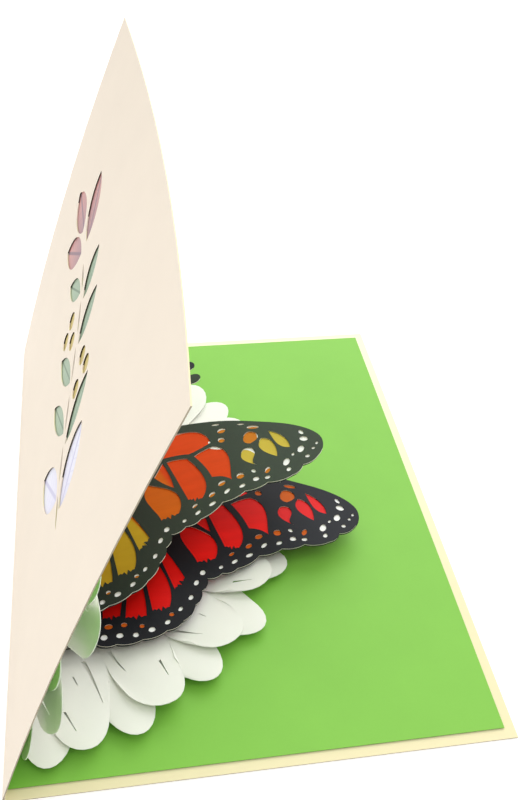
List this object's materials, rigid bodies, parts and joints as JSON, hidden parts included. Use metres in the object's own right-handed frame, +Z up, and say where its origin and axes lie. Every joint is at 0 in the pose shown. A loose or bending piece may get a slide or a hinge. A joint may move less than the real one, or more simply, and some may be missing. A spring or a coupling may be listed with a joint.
{
  "type": "pop-up greeting card",
  "caption": "Folded cream card standing half open, green inside, with a layered white paper daisy and cut paper butterflies on folded strips.",
  "frame": {"origin": "middle of the underside of the page that lies on the table, which is also the middle of the card's bounding box", "axes": "+X from the fold to the page's free edge, +Y along the fold towards the card's head, +Z up"},
  "size_m": [0.15, 0.2, 0.1421],
  "materials": {
    "cream_card": "matt",
    "green_paper": "matt",
    "printed_paper": "matt",
    "white_paper": "matt",
    "red_orange_paper": "matt",
    "orange_ochre_paper": "matt",
    "black_paper": "matt",
    "strip_paper": "matt"
  },
  "bodies": {
    "root": {"card": "cream_card", "green_lining": "green_paper", "window_print": "printed_paper", "daisy_lower_sheet": "white_paper", "daisy_upper_sheet": "white_paper", "lower_butterfly_coloured_sheet": "red_orange_paper", "lower_butterfly_black_sheet": "black_paper", "upper_butterfly_coloured_sheet": "orange_ochre_paper", "upper_butterfly_black_sheet": "black_paper", "daisy_strip_page_near": "strip_paper", "daisy_strip_page_far": "strip_paper", "daisy_strip_cover_near": "strip_paper", "daisy_strip_cover_far": "strip_paper", "lower_butterfly_strip_page_near": "strip_paper", "lower_butterfly_strip_page_far": "strip_paper", "lower_butterfly_strip_cover_near": "strip_paper", "lower_butterfly_strip_cover_far": "strip_paper", "upper_butterfly_strip_page_near": "strip_paper", "upper_butterfly_strip_page_far": "strip_paper", "upper_butterfly_strip_cover_near": "strip_paper", "upper_butterfly_strip_cover_far": "strip_paper"}
  },
  "joints": []
}
